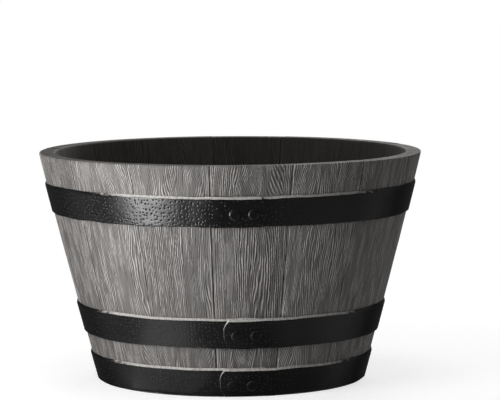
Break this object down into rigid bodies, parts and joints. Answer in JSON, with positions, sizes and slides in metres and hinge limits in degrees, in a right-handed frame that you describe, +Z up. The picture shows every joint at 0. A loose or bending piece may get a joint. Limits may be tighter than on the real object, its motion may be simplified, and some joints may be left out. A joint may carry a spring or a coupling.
{
  "type": "wooden half-barrel planter",
  "caption": "Tapered half-barrel planter of weathered grey wooden staves held by black riveted metal hoops, with a boarded bottom drilled to drain.",
  "frame": {"origin": "on the floor, at the centre of the tub", "axes": "+Z up, -Y towards the front, where the hoops are lapped and riveted, +X to the right of someone facing the front"},
  "size_m": [0.499, 0.499, 0.298],
  "materials": {
    "weathered_wood": "bare, weathered grey, with raised grain",
    "head_wood": "bare, sawn, weathered",
    "dowel_wood": "bare, fluted beech",
    "hoop_iron": "satin black over hammered steel",
    "rivet_iron": "satin black"
  },
  "bodies": {
    "root": {"stave_01": "weathered_wood", "stave_02": "weathered_wood", "stave_03": "weathered_wood", "stave_04": "weathered_wood", "stave_05": "weathered_wood", "stave_06": "weathered_wood", "stave_07": "weathered_wood", "stave_08": "weathered_wood", "stave_09": "weathered_wood", "stave_10": "weathered_wood", "stave_11": "weathered_wood", "stave_12": "weathered_wood", "stave_13": "weathered_wood", "stave_14": "weathered_wood", "stave_15": "weathered_wood", "head_board_1": "head_wood", "head_board_2": "head_wood", "head_board_3": "head_wood", "head_board_4": "head_wood", "head_board_5": "head_wood", "head_dowel_1": "dowel_wood", "head_dowel_2": "dowel_wood", "head_dowel_3": "dowel_wood", "head_dowel_4": "dowel_wood", "head_dowel_5": "dowel_wood", "head_dowel_6": "dowel_wood", "head_dowel_7": "dowel_wood", "head_dowel_8": "dowel_wood", "hoop_upper": "hoop_iron", "hoop_lower": "hoop_iron", "hoop_foot": "hoop_iron", "rivet_upper_1": "rivet_iron", "rivet_upper_2": "rivet_iron", "rivet_lower_1": "rivet_iron", "rivet_lower_2": "rivet_iron", "rivet_foot_1": "rivet_iron", "rivet_foot_2": "rivet_iron"}
  },
  "joints": []
}
